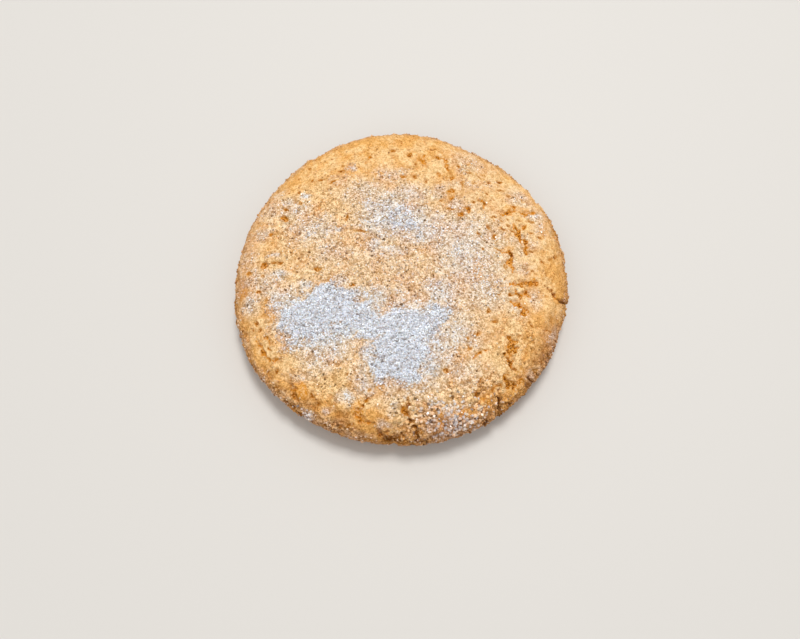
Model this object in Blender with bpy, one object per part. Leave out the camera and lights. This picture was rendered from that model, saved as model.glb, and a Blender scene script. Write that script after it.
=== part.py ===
"""A round polvoron: a thick crumbly biscuit with a cracked top and heaps of white sugar.

It is one solid. A sphere is pressed into a low disc with a flat base, a tucked-in foot and a
rounded shoulder. The sugar heaps are raised on the top, the cracks and pits are cut into it,
and the coarsest grains of sugar are fused on. The base stands on z = 0, centred on the origin.
"""

import math
import random
from collections import namedtuple

import bmesh
import bpy
import numpy as np
from mathutils import Euler, Matrix, Vector, noise

MM = 0.001

# Driving dimensions
WIDTH = 74.5 * MM
THICKNESS = 12.0 * MM
WAIST_HEIGHT = 4.6 * MM
FOOT_INSET = 3.6 * MM
SHOULDER_POWER = 5.5

# The plan outline: radii as shares of half the width, every 30 degrees from +X towards +Y
OUTLINE = (1.0, 0.996, 0.989, 1.025, 1.015, 0.997, 0.999, 1.032, 1.028, 1.025, 1.012, 0.999)

# Relief of the crust, in metres
SWELL_HEIGHT = 0.30 * MM
SWELL_LENGTH = 17.0 * MM
CRAG_HEIGHT = 0.55 * MM
CRAG_LENGTH = 4.0 * MM
EDGE_RAGGEDNESS = 0.22 * MM
EDGE_LENGTH = 5.0 * MM
HEAP_HEIGHT = 0.95 * MM
HEAP_LUMP_LENGTH = 1.9 * MM

# Triangles of the crust before the cracks are cut and the grains are fused on
CRUST_TRIANGLES = 4300
SPHERE_STEPS = 7

# A crack runs through its points, in millimetres from the middle of the biscuit
Crack = namedtuple("Crack", "path width depth")
CRACKS = {
    "right_chain": Crack(((23, 3.4), (23.9, -2.6), (24.9, -4.7), (24, -7.1), (26.6, -11.8)), 1.0, 1.5),
    "right_chain_branch": Crack(((24.3, -4.4), (27.4, -4.9), (29.2, -3.8)), 0.8, 1.3),
    "right_diagonal": Crack(((25.2, 10.0), (26.8, 5.6), (27.6, 2.2)), 0.9, 1.3),
    "right_rim": Crack(((31.8, -4.9), (33.2, -6.9), (38.5, -7.0)), 0.8, 1.9),
    "right_hollow": Crack(((22.1, -16.6), (22.9, -18.8), (22.0, -20.8), (22.3, -23.2)), 1.5, 1.4),
    "lower_right": Crack(((20.9, -24.2), (22.2, -26.1), (23.6, -26.8)), 1.1, 1.4),
    "lower_right_rim": Crack(((25.2, -23.6), (27.4, -25.3), (29.6, -26.4)), 1.0, 1.9),
    "front_right_rim": Crack(((19.7, -27.8), (19.9, -30.4), (20.9, -34.2)), 0.9, 2.6),
    "front_rim": Crack(((1.1, -29.4), (0.5, -33.4), (3.6, -35.9), (2.4, -39.6)), 1.0, 2.2),
    "front_left": Crack(((-6.6, -29.6), (-9.4, -32.4), (-8.6, -34.0), (-5.5, -35.2)), 0.9, 1.6),
    "front_edge": Crack(((-6.2, -36.0), (-3.6, -36.9), (-0.4, -37.4)), 0.8, 1.9),
    "lower_left": Crack(((-22.5, -24.2), (-23.2, -27.2), (-21.6, -29.8)), 0.7, 1.5),
    "left": Crack(((-28.2, -16.9), (-29.7, -18.9), (-28.4, -20.8), (-26.2, -21.4)), 0.7, 1.3),
    "lower_thin": Crack(((14.4, -21.6), (16.0, -20.4), (18.0, -19.9)), 0.6, 1.1),
    "upper_right": Crack(((22.2, 12.6), (23.7, 13.1), (25.2, 13.7)), 1.2, 1.3),
    "upper_right_edge": Crack(((26.9, 13.7), (29.7, 14.1)), 0.9, 1.2),
    "upper_middle": Crack(((16.9, 16.4), (18.5, 13.8)), 0.8, 1.2),
    "top_arch": Crack(((4.0, 27.2), (5.7, 28.7), (8.0, 27.9), (10.1, 27.0), (9.9, 23.6)), 0.7, 1.2),
    "top_diagonal": Crack(((4.4, 26.4), (5.4, 24.7), (8.4, 22.3)), 0.7, 1.2),
    "top_left_arch": Crack(((-9.0, 25.4), (-7.1, 28.6), (-4.5, 27.6)), 0.6, 1.1),
    "upper_left": Crack(((-17.1, 20.0), (-14.9, 21.7)), 0.9, 1.1),
}
CRACK_STEP = 0.9
CRACK_MEANDER = 0.28
CRACK_CLEARANCE = 2.5 * MM

# Round pits: x and y in millimetres, and the radius
PITS = (
    (27.2, 9.5, 0.8), (13.4, 12.4, 0.9), (11.0, 17.4, 0.9), (3.0, 22.2, 0.7), (-26.7, 11.6, 0.9),
    (-30.2, 0.0, 0.9), (-33.6, -1.3, 0.7), (26.4, -6.9, 0.9), (-1.9, 30.0, 0.7), (19.7, 21.1, 0.6),
)

# Sugar lies in ellipses: middle and half lengths in millimetres, turn in degrees, cover from 0 to 1
Patch = namedtuple("Patch", "x y half_x half_y turn cover")
HEAPS = (
    Patch(-19.2, -14.0, 8.8, 6.6, 0, 0.76),
    Patch(-14.7, -10.4, 7.0, 5.5, 15, 0.95),
    Patch(-8.0, -13.6, 5.5, 6.0, 0, 0.80),
    Patch(1.6, -14.4, 9.0, 4.6, 0, 0.90),
    Patch(-0.6, -20.4, 7.0, 6.0, 0, 0.95),
    Patch(0.8, -24.5, 4.4, 3.8, 0, 0.78),
    Patch(-1.2, 10.0, 5.0, 4.0, 0, 0.50),
)
SPRINKLES = (
    Patch(14.5, 4.6, 9.0, 14.0, 0, 0.30),
    Patch(-20.0, 9.6, 8.6, 7.6, 0, 0.30),
    Patch(-27.4, -0.4, 3.2, 2.6, 0, 0.50),
    Patch(-33.0, -8.6, 2.0, 3.4, 0, 0.50),
    Patch(-11.6, -29.4, 2.6, 2.0, 0, 0.55),
    Patch(11.4, -32.2, 9.4, 3.8, 10, 0.85),
    Patch(8.0, -27.0, 9.0, 5.0, 0, 0.35),
    Patch(-20.6, -31.0, 3.0, 1.6, -30, 0.60),
)

# Grains fused on: small blocks, the largest first, no nearer to each other than the spacing
GRAIN_COUNT = 150
GRAIN_LARGEST = 1.4 * MM
GRAIN_SMALLEST = 0.9 * MM
GRAIN_SPACING = 1.7 * MM
GRAIN_RISE = 0.15
GRAIN_NARROWEST = 0.7
GRAIN_REACH = 0.93
SEED = 7

CRUST_COLOUR = (0.75, 0.52, 0.29, 1.0)
CRUST_ROUGHNESS = 0.85
SUGAR_COLOUR = (0.80, 0.81, 0.84, 1.0)
SUGAR_ROUGHNESS = 0.35


def clear_scene():
    """Remove every object that is already in the scene."""
    for scene_object in list(bpy.data.objects):
        bpy.data.objects.remove(scene_object, do_unlink=True)


def new_collection(name):
    """Make a collection that the scene shows."""
    collection = bpy.data.collections.new(name)
    bpy.context.scene.collection.children.link(collection)
    return collection


def new_material(name, colour, roughness):
    """Make a plain Principled material that isn't metal."""
    material = bpy.data.materials.new(name)
    material.use_nodes = True
    shader = material.node_tree.nodes["Principled BSDF"]
    shader.inputs["Base Color"].default_value = colour
    shader.inputs["Roughness"].default_value = roughness
    shader.inputs["Metallic"].default_value = 0.0
    material.diffuse_color = colour
    return material


def smooth_step(value, low, high):
    """Go from 0 at low to 1 at high without corners."""
    share = np.clip((value - low) / (high - low), 0.0, 1.0)
    return share * share * (3.0 - 2.0 * share)


def plan_radius(angle):
    """The outline's radius at each angle: a smooth closed curve through OUTLINE."""
    count = len(OUTLINE)
    place = (angle % math.tau) / math.tau * count
    first = np.floor(place).astype(int)
    share = place - first
    before, here, ahead, beyond = (np.take(OUTLINE, (first + step) % count) for step in (-1, 0, 1, 2))
    slope_here = (ahead - before) / 2
    slope_ahead = (beyond - here) / 2
    square, cube = share**2, share**3
    curve = (2 * cube - 3 * square + 1) * here + (cube - 2 * square + share) * slope_here
    curve += (3 * square - 2 * cube) * ahead + (cube - square) * slope_ahead
    return curve * WIDTH / 2


def crown_height(share):
    """Height of the plain top at a share of the plan radius, down to the waist at 1."""
    rise = THICKNESS - HEAP_HEIGHT / 2 - WAIST_HEIGHT
    return WAIST_HEIGHT + rise * np.sqrt(1.0 - np.clip(share, 0.0, 1.0) ** SHOULDER_POWER)


def side_profile():
    """Points of the half section from the middle of the top to the middle of the base.

    Each has the length along the section so far, the inset from the outline and the height.
    """
    radius = WIDTH / 2
    share = 1.0 - (1.0 - np.linspace(0.0, 1.0, 400)) ** 2
    turn = np.linspace(0.0, math.pi / 2, 60)[1:]
    inwards = np.linspace(FOOT_INSET, radius, 60)[1:]
    inset = np.concatenate([radius * (1 - share), FOOT_INSET * (1 - np.cos(turn)), inwards])
    height = np.concatenate([crown_height(share), WAIST_HEIGHT * (1 - np.sin(turn)), 0 * inwards])
    length = np.concatenate([[0.0], np.cumsum(np.hypot(np.diff(inset), np.diff(height)))])
    return length, inset, height


def patch_cover(x, y, patches):
    """How much sugar the patches leave at each place, from 0 to 1, with ragged edges."""
    cover = np.zeros_like(x)
    for patch in patches:
        turn = math.radians(patch.turn)
        along = (x / MM - patch.x) * math.cos(turn) + (y / MM - patch.y) * math.sin(turn)
        across = (y / MM - patch.y) * math.cos(turn) - (x / MM - patch.x) * math.sin(turn)
        distance = np.hypot(along / patch.half_x, across / patch.half_y)
        cover = np.maximum(cover, patch.cover * (1.0 - smooth_step(distance, 0.72, 1.05)))
    return cover


def ripple(points, wavelength, seed):
    """Smooth noise between about -1 and 1 at each point."""
    shift = Vector((seed * 3.7, seed * 1.9, seed * 5.3))
    return np.array([noise.noise(Vector(point) / wavelength + shift) for point in points])


def crust_mesh():
    """Press a sphere into the biscuit's form and give it its relief and its sugar heaps."""
    crust = bmesh.new()
    bmesh.ops.create_icosphere(crust, subdivisions=SPHERE_STEPS, radius=1.0)
    mesh = bpy.data.meshes.new("polvoron")
    crust.to_mesh(mesh)
    crust.free()

    sphere = np.empty(len(mesh.vertices) * 3)
    mesh.vertices.foreach_get("co", sphere)
    sphere = sphere.reshape(-1, 3)
    angle = np.arctan2(sphere[:, 1], sphere[:, 0])
    fall = np.arccos(np.clip(sphere[:, 2], -1.0, 1.0))

    length, inset, height = side_profile()
    waist = length[np.argmin(inset + (height < WAIST_HEIGHT))]
    upper = fall <= math.pi / 2
    share = np.where(upper, fall, fall - math.pi / 2) / (math.pi / 2)
    walked = np.where(upper, share * waist, waist + share * (length[-1] - waist))
    radius = plan_radius(angle) * (1.0 - np.interp(walked, length, inset) / (WIDTH / 2))
    z = np.interp(walked, length, height)
    points = np.stack([radius * np.cos(angle), radius * np.sin(angle), z], axis=1)

    # Nothing moves on the base, and the relief grows over the foot
    free = smooth_step(z, 0.0, WAIST_HEIGHT)
    side = points * (1.0, 1.0, 0.5)
    points[:, :2] *= (1.0 + free * EDGE_RAGGEDNESS * ripple(side, EDGE_LENGTH, 1) / (WIDTH / 2))[:, None]
    lift = SWELL_HEIGHT * ripple(points, SWELL_LENGTH, 2)
    crags = ripple(points, CRAG_LENGTH, 3) + 0.5 * ripple(points, CRAG_LENGTH / 2, 4)
    lift += CRAG_HEIGHT * np.minimum(crags, 0.25)
    heap = patch_cover(points[:, 0], points[:, 1], HEAPS)
    lumps = 0.75 + 0.35 * ripple(points, HEAP_LUMP_LENGTH, 5)
    on_top = smooth_step(z, WAIST_HEIGHT, THICKNESS * 0.8)
    points[:, 2] += on_top * (lift * (1 - heap) + HEAP_HEIGHT * heap * lumps)

    mesh.vertices.foreach_set("co", points.ravel())
    mesh.update()
    return mesh


def apply_modifiers(subject):
    """Replace the object's mesh by the one its modifiers make."""
    graph = bpy.context.evaluated_depsgraph_get()
    finished = bpy.data.meshes.new_from_object(subject.evaluated_get(graph))
    subject.modifiers.clear()
    old = subject.data
    subject.data = finished
    bpy.data.meshes.remove(old)


def surface_height(x, y):
    """Height of the plain top at a place, in metres."""
    share = np.hypot(x, y) / plan_radius(np.array([math.atan2(y, x)]))[0]
    return float(crown_height(min(share, 0.97)))


def meander(path, rng):
    """Walk along the crack's points in short steps that stray a little to either side."""
    walk = []
    for start, end in zip(path, path[1:]):
        start, end = Vector(start), Vector(end)
        across = Vector((start.y - end.y, end.x - start.x)).normalized()
        steps = max(2, round((end - start).length / CRACK_STEP))
        for step in range(steps):
            stray = 0.0 if step == 0 else rng.uniform(-CRACK_MEANDER, CRACK_MEANDER)
            walk.append(start.lerp(end, step / steps) + across * stray)
    walk.append(Vector(path[-1]))
    return [place * MM for place in walk]


def crack_cutter(name, crack, collection, rng):
    """A wedge with its edge down in the crust, which tapers to a point at both ends."""
    walk = meander(crack.path, rng)
    wedge = bmesh.new()
    rings = []
    last = len(walk) - 1
    for index, place in enumerate(walk):
        ahead = (walk[min(index + 1, last)] - walk[max(index - 1, 0)]).normalized()
        across = Vector((-ahead.y, ahead.x))
        open_rim = place.length > WIDTH / 2
        taper = 1.0 if open_rim else 0.25 + 0.75 * math.sin(math.pi * (index + 0.5) / (last + 1))
        half = crack.width * MM / 2 * taper * rng.uniform(0.75, 1.25)
        floor = surface_height(*place) - crack.depth * MM * taper
        top = surface_height(*place) + CRACK_CLEARANCE
        half_top = half * (top - floor) / (crack.depth * MM * taper)
        left, right = place + across * half_top, place - across * half_top
        ring = [(left.x, left.y, top), (place.x, place.y, floor), (right.x, right.y, top)]
        rings.append([wedge.verts.new(corner) for corner in ring])
    wedge.faces.new(rings[0])
    wedge.faces.new(reversed(rings[-1]))
    for near, far in zip(rings, rings[1:]):
        for corner in range(3):
            following = (corner + 1) % 3
            wedge.faces.new((near[following], near[corner], far[corner], far[following]))
    bmesh.ops.recalc_face_normals(wedge, faces=wedge.faces)
    bmesh.ops.triangulate(wedge, faces=wedge.faces)
    return finish_helper(wedge, name, collection)


def pit_cutter(index, pit, collection, rng):
    """A lumpy ball that bites a round pit out of the crust."""
    x, y, radius = (value * MM for value in pit)
    ball = bmesh.new()
    turn = Euler([rng.uniform(0, math.tau) for _ in range(3)]).to_matrix().to_4x4()
    place = Matrix.Translation((x, y, surface_height(x, y) + 0.2 * radius))
    bmesh.ops.create_icosphere(ball, subdivisions=1, radius=radius * 1.2, matrix=place @ turn)
    return finish_helper(ball, f"pit_cutter_{index:02d}", collection)


def finish_helper(shape, name, collection, material=None):
    """Turn a bmesh into an object of a collection of cutters or of grains."""
    mesh = bpy.data.meshes.new(name)
    shape.to_mesh(mesh)
    shape.free()
    if material:
        mesh.materials.append(material)
    helper = bpy.data.objects.new(name, mesh)
    helper.hide_render = True
    helper.display_type = "WIRE"
    collection.objects.link(helper)
    return helper


def grain_places(rng):
    """Places for the grains, the thickest sugar first, no two nearer than the spacing."""
    places = []
    tries = 0
    while len(places) < GRAIN_COUNT and tries < 60000:
        tries += 1
        angle, reach = rng.uniform(0, math.tau), GRAIN_REACH * math.sqrt(rng.random())
        radius = float(plan_radius(np.array([angle]))[0]) * reach
        x, y = radius * math.cos(angle), radius * math.sin(angle)
        heap, sprinkle = (
            float(patch_cover(np.array([x]), np.array([y]), patches)[0]) for patches in (HEAPS, SPRINKLES)
        )
        if rng.random() > 0.02 + 0.75 * heap + sprinkle:
            continue
        if all(math.dist((x, y), other[:2]) > GRAIN_SPACING for other in places):
            places.append((x, y, heap))
    return places


def add_grains(collection, sugar, rng):
    """Turned blocks of sugar that sit nearly half deep in what they lie on."""
    for index, (x, y, heap) in enumerate(grain_places(rng)):
        side = GRAIN_LARGEST + (GRAIN_SMALLEST - GRAIN_LARGEST) * index / GRAIN_COUNT
        shape = Matrix.Diagonal((1.0, rng.uniform(GRAIN_NARROWEST, 1.0), GRAIN_NARROWEST, 1.0))
        turn = Euler([rng.uniform(0, math.tau) for _ in range(3)]).to_matrix().to_4x4()
        ground = surface_height(x, y) + HEAP_HEIGHT * heap * 0.75
        place = Matrix.Translation((x, y, ground + side * GRAIN_RISE))
        block = bmesh.new()
        bmesh.ops.create_cube(block, size=side, matrix=place @ turn @ shape)
        finish_helper(block, f"grain_{index:03d}", collection, sugar)


def boolean(subject, operation, collection):
    """Join a collection to the subject or cut it away, then remove the collection's objects."""
    modifier = subject.modifiers.new(operation.title(), "BOOLEAN")
    modifier.operation = operation
    modifier.operand_type = "COLLECTION"
    modifier.collection = collection
    # Every cutter and grain is closed, and this solver keeps the result closed too
    modifier.solver = "MANIFOLD"
    bpy.context.view_layer.update()
    apply_modifiers(subject)
    for helper in list(collection.objects):
        bpy.data.objects.remove(helper, do_unlink=True)
    bpy.data.collections.remove(collection)


def keep_largest_body(mesh):
    """Drop any scrap that a cut has left loose."""
    solid = bmesh.new()
    solid.from_mesh(mesh)
    waiting = set(solid.verts)
    bodies = []
    while waiting:
        body, edge_of_body = set(), [waiting.pop()]
        while edge_of_body:
            vertex = edge_of_body.pop()
            body.add(vertex)
            for edge in vertex.link_edges:
                other = edge.other_vert(vertex)
                if other in waiting:
                    waiting.remove(other)
                    edge_of_body.append(other)
        bodies.append(body)
    largest = max(bodies, key=len)
    scraps = [vertex for body in bodies if body is not largest for vertex in body]
    bmesh.ops.delete(solid, geom=scraps, context="VERTS")
    solid.to_mesh(mesh)
    solid.free()


def build():
    """Build the biscuit."""
    rng = random.Random(SEED)
    clear_scene()
    parts = new_collection("Polvoron")
    crust = new_material("biscuit_crust", CRUST_COLOUR, CRUST_ROUGHNESS)
    sugar = new_material("sugar", SUGAR_COLOUR, SUGAR_ROUGHNESS)

    polvoron = bpy.data.objects.new("polvoron", crust_mesh())
    polvoron.data.materials.append(crust)
    polvoron.data.materials.append(sugar)
    parts.objects.link(polvoron)
    thin_out = polvoron.modifiers.new("Thin out", "DECIMATE")
    thin_out.ratio = CRUST_TRIANGLES / len(polvoron.data.polygons)
    bpy.context.view_layer.update()
    apply_modifiers(polvoron)

    cutters = new_collection("Cutters")
    for name, crack in CRACKS.items():
        crack_cutter(f"{name}_cutter", crack, cutters, rng)
    for index, pit in enumerate(PITS):
        pit_cutter(index, pit, cutters, rng)
    boolean(polvoron, "DIFFERENCE", cutters)

    grains = new_collection("Grains")
    add_grains(grains, sugar, rng)
    boolean(polvoron, "UNION", grains)
    keep_largest_body(polvoron.data)
    polvoron.data.shade_smooth()
    polvoron.data.set_sharp_from_angle(angle=math.radians(35))


build()
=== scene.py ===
"""A sugared polvoron: a round crumbly biscuit with a cracked golden top and heaps of white sugar.

The crust is a sphere pressed into a low disc and carved with cracks, marks and fissures. Geometry
Nodes strew crumbs and grains of sugar over it, guided by attributes that the crust carries.
"""

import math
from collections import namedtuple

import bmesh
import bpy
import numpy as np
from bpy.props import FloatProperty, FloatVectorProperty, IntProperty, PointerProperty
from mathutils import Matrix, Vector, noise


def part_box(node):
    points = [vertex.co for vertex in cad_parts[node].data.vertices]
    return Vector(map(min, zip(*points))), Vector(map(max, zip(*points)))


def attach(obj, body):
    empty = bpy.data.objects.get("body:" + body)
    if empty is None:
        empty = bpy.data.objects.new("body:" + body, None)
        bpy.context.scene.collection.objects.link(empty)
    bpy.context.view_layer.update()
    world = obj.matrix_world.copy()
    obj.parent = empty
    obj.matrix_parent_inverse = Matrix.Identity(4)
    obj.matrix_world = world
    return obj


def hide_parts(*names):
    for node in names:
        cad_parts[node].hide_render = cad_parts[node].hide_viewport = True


bl_info = {
    "name": "Sugared Polvoron",
    "version": (1, 0, 0),
    "blender": (4, 5, 0),
    "location": "3D View > Sidebar > Polvoron",
    "description": "Bakes a crumbly biscuit with a cracked top and strews it with sugar",
    "category": "Add Mesh",
}

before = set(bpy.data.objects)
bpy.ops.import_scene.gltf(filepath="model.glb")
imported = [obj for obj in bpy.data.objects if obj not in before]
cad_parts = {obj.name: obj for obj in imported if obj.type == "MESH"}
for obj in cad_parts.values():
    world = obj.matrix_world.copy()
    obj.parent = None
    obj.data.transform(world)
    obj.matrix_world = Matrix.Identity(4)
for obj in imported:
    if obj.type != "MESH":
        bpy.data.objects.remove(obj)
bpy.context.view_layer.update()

MM = 0.001
NODE = "polvoron"
BODY = "root"
NODE_LOW, NODE_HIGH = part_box(NODE)
WIDTH = NODE_HIGH.x - NODE_LOW.x

# The plan outline: radii as shares of half the width, every 30 degrees from +X towards +Y
OUTLINE = (1.0, 0.996, 0.989, 1.025, 1.015, 0.997, 0.999, 1.032, 1.028, 1.025, 1.012, 0.999)

# A crack runs through the points of its path, in millimetres from the middle of the biscuit
Crack = namedtuple("Crack", "width depth path")
CRACKS = tuple(Crack(*row) for row in (
    # On the right
    (1.0, 0.55, ((22.0, 3.0), (23.6, 3.1), (23.9, 2.0), (23.4, 0.4), (24.1, -0.7), (24.2, -2.0))),
    (1.4, 0.6, ((23.4, -4.9), (24.8, -4.7), (26.2, -4.2), (27.3, -4.6), (28.9, -3.6))),
    (1.2, 0.6, ((23.0, -7.3), (24.3, -6.9), (25.2, -7.5), (26.3, -6.6), (26.8, -7.3))),
    (1.3, 0.6, ((23.4, -8.7), (24.6, -9.4), (25.7, -9.9), (26.3, -10.8), (25.6, -11.8))),
    (1.5, 0.55, ((25.2, 9.8), (25.8, 8.2), (26.5, 6.4), (27.2, 4.6), (27.4, 2.5))),
    (0.8, 1.1, ((31.8, -4.9), (33.2, -6.9), (34.4, -7.3), (38.5, -7.2))),
    (1.9, 0.6, ((22.1, -16.6), (23.1, -18.2), (22.8, -19.6), (22.0, -20.8), (22.3, -22.6))),
    # At the lower right
    (1.4, 0.65, ((21.2, -24.8), (21.8, -26.7), (22.8, -26.3), (24.4, -25.6), (25.8, -26.0))),
    (0.8, 1.2, ((26.2, -24.6), (27.6, -25.2), (29.8, -26.6))),
    (0.9, 1.9, ((19.8, -28.0), (20.0, -30.2), (20.9, -34.2))),
    # Along the front
    (1.0, 0.9, (
        (1.0, -29.8), (1.2, -32.1), (1.3, -34.0), (2.5, -34.9), (3.6, -35.9), (2.8, -37.0), (1.6, -39.8),
    )),
    (1.1, 0.65, ((-6.8, -29.9), (-8.5, -31.7), (-9.3, -32.6), (-8.9, -33.7), (-7.5, -34.3), (-5.6, -34.9))),
    (1.0, 1.0, ((-5.4, -36.0), (-4.0, -36.7), (-2.7, -37.3), (-1.3, -37.5), (0.0, -37.0))),
    # On the left
    (0.9, 0.85, ((-22.9, -25.2), (-22.9, -27.2), (-22.3, -29.0), (-21.5, -29.8))),
    (0.8, 0.55, ((-29.6, -16.0), (-28.8, -16.6), (-28.0, -17.3), (-27.9, -18.6), (-27.2, -19.4))),
    (0.8, 0.55, (
        (-30.8, -17.0), (-30.0, -18.4), (-29.4, -19.6), (-28.4, -20.8), (-26.9, -21.6), (-25.2, -21.2),
    )),
    # A thin one between the middle and the lower right
    (0.6, 0.5, ((14.6, -21.6), (15.6, -20.4), (16.6, -19.9), (18.0, -19.8))),
    # At the upper right
    (1.5, 0.6, ((22.2, 12.6), (23.7, 13.1), (25.2, 13.7))),
    (1.0, 0.5, ((26.6, 13.4), (28.4, 13.2), (30.4, 14.0))),
    (0.8, 0.5, ((17.0, 16.6), (18.4, 15.7), (18.4, 14.2))),
    # At the top
    (0.8, 0.4, ((6.8, 28.7), (8.5, 28.4), (10.1, 27.5), (10.2, 25.3), (10.6, 24.2))),
    (0.9, 0.4, ((5.2, 28.9), (4.3, 27.6), (5.0, 26.5), (5.6, 24.9))),
    (0.8, 0.4, ((-8.6, 26.2), (-7.8, 27.4), (-7.1, 28.6))),
))

# Marks are short broken dents: middle, length and width in millimetres, and turn in degrees
Mark = namedtuple("Mark", "x y length width turn", defaults=(0,))
MARKS = tuple(Mark(*row) for row in (
    (1.8, 28.7, 1.2, 0.9, 70), (3.1, 26.1, 0.8, 0.6), (7.3, 30.8, 1.6, 0.5, 10), (0.6, 22.5, 1.7, 0.8),
    (3.0, 22.5, 1.3, 0.8, 80), (8.4, 22.9, 1.3, 0.9, 130), (5.5, 21.2, 1.0, 0.5, 80),
    (11.6, 22.0, 1.3, 0.9, 40), (11.3, 18.6, 1.6, 1.0, 10), (11.1, 16.6, 1.2, 0.9, 40),
    (10.9, 13.8, 1.5, 0.6), (8.8, 15.8, 0.9, 0.5, 20), (13.2, 12.4, 1.2, 1.0), (14.9, 13.8, 1.8, 1.2, 90),
    (13.1, 25.5, 0.8, 0.5), (15.2, 26.3, 0.8, 0.6, 50), (15.4, 23.9, 1.4, 0.5, -15),
    (17.8, 22.8, 1.5, 0.4, -60), (16.6, 21.0, 0.8, 0.5), (20.0, 21.2, 0.9, 0.8),
    (22.4, 21.8, 1.4, 0.6, -20), (22.6, 19.4, 1.6, 0.5, -12), (19.1, 18.0, 0.8, 0.6, -40),
    (24.4, 17.8, 0.8, 0.5, -40), (16.0, 15.8, 0.8, 0.5), (25.3, 14.8, 1.4, 1.1), (20.4, 11.8, 1.2, 0.4),
    (27.3, 9.6, 1.2, 1.2), (28.6, 11.1, 1.8, 0.5), (19.3, 9.0, 1.1, 0.5, -60), (16.9, 7.5, 0.7, 0.6),
    (24.5, 8.4, 0.9, 0.5, -30), (23.6, 9.9, 1.0, 0.5, -50), (20.3, 6.6, 1.3, 0.7, 85),
    (22.6, 8.8, 1.0, 0.5, -20), (21.1, 3.4, 1.4, 0.5, -30), (28.6, 3.4, 1.7, 0.4, 4), (17.6, 3.7, 0.6, 0.5),
    (29.0, 8.1, 1.0, 0.6), (30.4, 7.3, 0.7, 0.4), (29.2, -4.0, 1.5, 1.3, 60), (28.6, -1.6, 1.4, 0.4, -30),
    (30.8, 1.1, 1.4, 0.6, -50), (33.5, 2.7, 2.9, 0.6, 36), (22.4, -0.6, 1.0, 0.5, -60),
    (25.8, -11.4, 1.4, 1.2), (18.2, -11.0, 1.0, 0.7, 70), (19.4, -13.5, 1.2, 0.6),
    (15.8, -16.2, 1.1, 0.7, 40), (24.9, -16.4, 1.4, 0.5, 15), (27.3, -13.8, 1.3, 0.5, -40),
    (31.0, -14.6, 1.0, 0.4), (13.7, -17.5, 0.7, 0.5, 90), (14.0, -19.5, 0.7, 0.5),
    (23.0, -23.4, 1.3, 0.4, 15), (21.8, -24.6, 1.3, 0.7), (19.8, -26.9, 1.5, 0.7, 15),
    (18.5, -27.8, 1.2, 0.5, 60), (27.8, -23.0, 0.9, 0.6), (15.1, -29.0, 0.9, 0.6, 60),
    (16.0, -26.0, 1.1, 0.4, 50), (9.0, -24.3, 1.0, 0.7), (0.4, -32.2, 1.6, 1.0, 80),
    (-2.0, 30.2, 1.2, 0.8, -20), (-7.1, 28.2, 1.1, 0.8), (-13.7, 25.8, 0.8, 0.6), (-14.0, 24.2, 1.7, 0.7),
    (-16.3, 28.2, 0.7, 0.5), (-21.6, 25.9, 0.7, 0.6), (-20.6, 21.8, 0.9, 0.6, 90),
    (-18.3, 22.0, 1.6, 0.6, 15), (-15.8, 21.2, 2.1, 0.7, 35), (-26.0, 18.8, 0.7, 0.5),
    (-23.6, 18.7, 0.9, 0.6, 90), (-26.4, 14.2, 1.1, 0.7, 140), (-23.2, 15.7, 1.0, 0.6, 90),
    (-26.5, 11.8, 1.8, 1.3, -30), (-29.3, 7.8, 1.0, 0.8, 90), (-30.2, 0.1, 1.6, 1.4, 90),
    (-28.2, 0.4, 1.3, 0.6), (-26.8, 0.4, 1.1, 0.8), (-33.7, -1.3, 1.0, 0.8), (-30.4, -2.6, 0.8, 0.6),
    (-18.3, -1.4, 1.7, 0.9, 20), (-10.8, -5.2, 1.3, 0.8), (-30.9, -6.2, 0.8, 0.6),
    (-9.2, 8.0, 2.4, 0.4, -10), (-12.4, 11.4, 1.2, 0.7, 90), (-31.1, -13.1, 1.3, 0.7, 110),
    (-22.3, -28.0, 1.4, 0.9, 100), (-18.4, -28.9, 1.8, 0.6, 100), (-17.2, -30.6, 1.2, 0.6, -20),
    (-26.2, -23.6, 1.1, 0.6, 80), (-10.6, -34.9, 1.4, 0.6, 20), (-30.1, -14.7, 0.8, 0.6),
    (-32.0, -14.6, 0.8, 0.4, 90), (-28.0, -23.5, 0.9, 0.6), (-26.2, -26.6, 0.9, 0.5),
    (-11.2, -24.9, 0.7, 0.6, 80), (-6.6, -28.3, 0.7, 0.5, 60), (-12.6, -35.0, 0.8, 0.4),
))

# Over this distance the crust goes from closed to open, so that its mesh can carry small marks
EDGE_BAND = 0.8 * MM
# Marks open this much further all round, because the band takes some of their width
MARK_MARGIN = 0.06 * MM

# A patch is an ellipse: middle and half lengths in millimetres, cover from 0 to 1, turn in degrees
Patch = namedtuple("Patch", "x y half_x half_y cover turn", defaults=(0,))


def patches(*rows):
    """Name the numbers of each row."""
    return tuple(Patch(*row) for row in rows)


# Where the sugar is piled up
HEAPS = patches(
    (-20.2, -13.2, 8.0, 7.2, 0.76), (-15.0, -10.2, 7.4, 5.6, 0.95, 15), (-8.6, -12.6, 5.5, 5.6, 0.8),
    (-6.8, -14.6, 4.4, 3.6, 0.8), (-12.4, -15.6, 3.0, 2.6, 0.7), (1.6, -14.4, 9.0, 4.6, 0.9),
    (-0.6, -20.4, 7.0, 6.0, 0.95), (-4.0, -23.2, 3.6, 5.2, 0.72), (0.8, -24.5, 4.4, 3.8, 0.78),
    (7.4, -12.4, 3.2, 4.4, 0.74), (0.2, 10.8, 5.4, 4.4, 0.58), (-2.4, 12.2, 8.4, 6.4, 0.38),
)

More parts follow.
